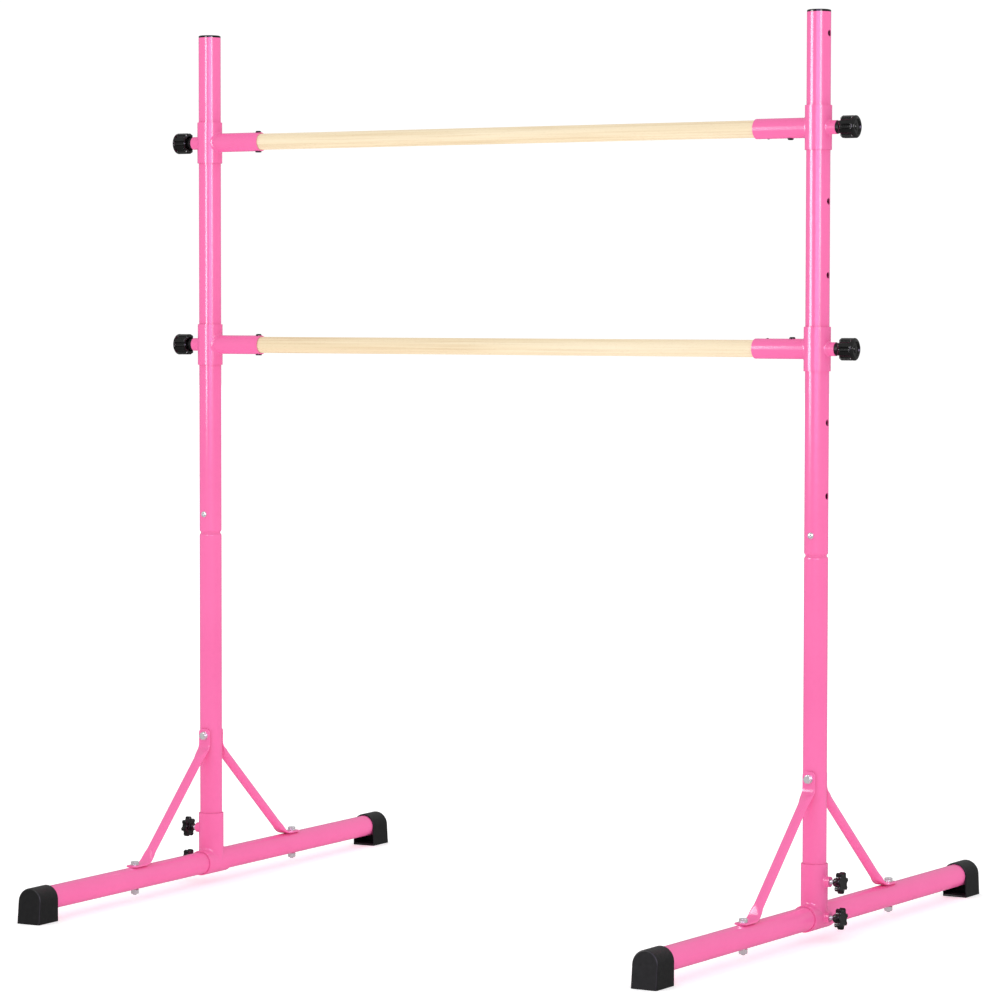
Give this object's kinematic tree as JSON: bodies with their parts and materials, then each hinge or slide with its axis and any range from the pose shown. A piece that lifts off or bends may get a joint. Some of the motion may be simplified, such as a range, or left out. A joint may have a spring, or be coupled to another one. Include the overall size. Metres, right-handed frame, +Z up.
{
  "type": "ballet barre",
  "caption": "Free-standing ballet barre: tube stands on floor feet carry wooden hand rails that slide up and down the posts and lock with spring pull pins.",
  "frame": {"origin": "on the floor, midway between the stands and midway between their front and rear feet", "axes": "+X along the rails to the right, +Y to the back, +Z up"},
  "size_m": [1.1026, 0.9484, 1.2323],
  "materials": {
    "pink_steel": "gloss powder coat",
    "beech": "clear satin lacquer",
    "black_plastic": "fine moulded satin",
    "black_rubber": "matt",
    "zinc_steel": "bright zinc plate",
    "black_steel": "black oxide"
  },
  "bodies": {
    "stands": {"left_base_tee": "pink_steel", "left_foot_tube": "pink_steel", "left_lower_post": "pink_steel", "left_upper_post": "pink_steel", "left_post_cap": "black_plastic", "left_front_foot": "black_rubber", "left_rear_foot": "black_rubber", "left_front_strut": "pink_steel", "left_rear_strut": "pink_steel", "right_base_tee": "pink_steel", "right_foot_tube": "pink_steel", "right_lower_post": "pink_steel", "right_upper_post": "pink_steel", "right_post_cap": "black_plastic", "right_front_foot": "black_rubber", "right_rear_foot": "black_rubber", "right_front_strut": "pink_steel", "right_rear_strut": "pink_steel", "strut_top_bolts": "zinc_steel", "strut_top_nuts": "zinc_steel", "strut_foot_bolts": "zinc_steel", "strut_foot_nuts": "zinc_steel", "strut_washers": "zinc_steel", "post_joint_bolts": "zinc_steel", "post_joint_nuts": "zinc_steel"},
    "left_post_knob": {"left_post_star_knob": "black_plastic", "left_post_stud": "zinc_steel"},
    "left_foot_knob": {"left_foot_star_knob": "black_plastic", "left_foot_stud": "zinc_steel"},
    "right_post_knob": {"right_post_star_knob": "black_plastic", "right_post_stud": "zinc_steel"},
    "right_foot_knob": {"right_foot_star_knob": "black_plastic", "right_foot_stud": "zinc_steel"},
    "lower_rail": {"lower_bar": "beech", "lower_left_clamp": "pink_steel", "lower_right_clamp": "pink_steel", "lower_right_ferrule": "pink_steel", "lower_rail_screws": "black_steel", "lower_left_pin_barrel": "black_steel", "lower_right_pin_barrel": "black_steel", "lower_left_pin_spring": "zinc_steel", "lower_right_pin_spring": "zinc_steel"},
    "lower_left_pin": {"lower_left_pin_plunger": "zinc_steel", "lower_left_pull_knob": "black_plastic"},
    "lower_right_pin": {"lower_right_pin_plunger": "zinc_steel", "lower_right_pull_knob": "black_plastic"},
    "upper_rail": {"upper_bar": "beech", "upper_left_clamp": "pink_steel", "upper_right_clamp": "pink_steel", "upper_right_ferrule": "pink_steel", "upper_rail_screws": "black_steel", "upper_left_pin_barrel": "black_steel", "upper_right_pin_barrel": "black_steel", "upper_left_pin_spring": "zinc_steel", "upper_right_pin_spring": "zinc_steel"},
    "upper_left_pin": {"upper_left_pin_plunger": "zinc_steel", "upper_left_pull_knob": "black_plastic"},
    "upper_right_pin": {"upper_right_pin_plunger": "zinc_steel", "upper_right_pull_knob": "black_plastic"}
  },
  "joints": [
    {"name": "left_post_knob_turn", "type": "hinge", "parent": "stands", "child": "left_post_knob", "pos_m": [-0.53344, -0.01443, 0.0782], "axis": [-0.9984, -0.0558, 0], "range_deg": [0, 720]},
    {"name": "left_foot_knob_turn", "type": "hinge", "parent": "stands", "child": "left_foot_knob", "pos_m": [-0.53344, -0.01443, 0.0304], "axis": [-0.9984, -0.0558, 0], "range_deg": [0, 720]},
    {"name": "right_post_knob_turn", "type": "hinge", "parent": "stands", "child": "right_post_knob", "pos_m": [0.5335, -0.0122, 0.0782], "axis": [1, 0, 0], "range_deg": [0, 720]},
    {"name": "right_foot_knob_turn", "type": "hinge", "parent": "stands", "child": "right_foot_knob", "pos_m": [0.5335, -0.0122, 0.0304], "axis": [1, 0, 0], "range_deg": [0, 720]},
    {"name": "lower_rail_height", "type": "slide", "parent": "stands", "child": "lower_rail", "axis": [0, 0, 1], "range_m": [-0.1946, 0.0973]},
    {"name": "lower_left_pin_pull", "type": "slide", "parent": "lower_rail", "child": "lower_left_pin", "axis": [-1, 0, 0], "range_m": [0, 0.007], "stiffness_N_per_m": 800, "springref_m": -0.01, "deforming": ["lower_left_pin_spring"]},
    {"name": "lower_right_pin_pull", "type": "slide", "parent": "lower_rail", "child": "lower_right_pin", "axis": [1, 0, 0], "range_m": [0, 0.007], "stiffness_N_per_m": 800, "springref_m": -0.01, "deforming": ["lower_right_pin_spring"]},
    {"name": "upper_rail_height", "type": "slide", "parent": "stands", "child": "upper_rail", "axis": [0, 0, 1], "range_m": [-0.0973, 0.1234]},
    {"name": "upper_left_pin_pull", "type": "slide", "parent": "upper_rail", "child": "upper_left_pin", "axis": [-1, 0, 0], "range_m": [0, 0.007], "stiffness_N_per_m": 800, "springref_m": -0.01, "deforming": ["upper_left_pin_spring"]},
    {"name": "upper_right_pin_pull", "type": "slide", "parent": "upper_rail", "child": "upper_right_pin", "axis": [1, 0, 0], "range_m": [0, 0.007], "stiffness_N_per_m": 800, "springref_m": -0.01, "deforming": ["upper_right_pin_spring"]}
  ]
}
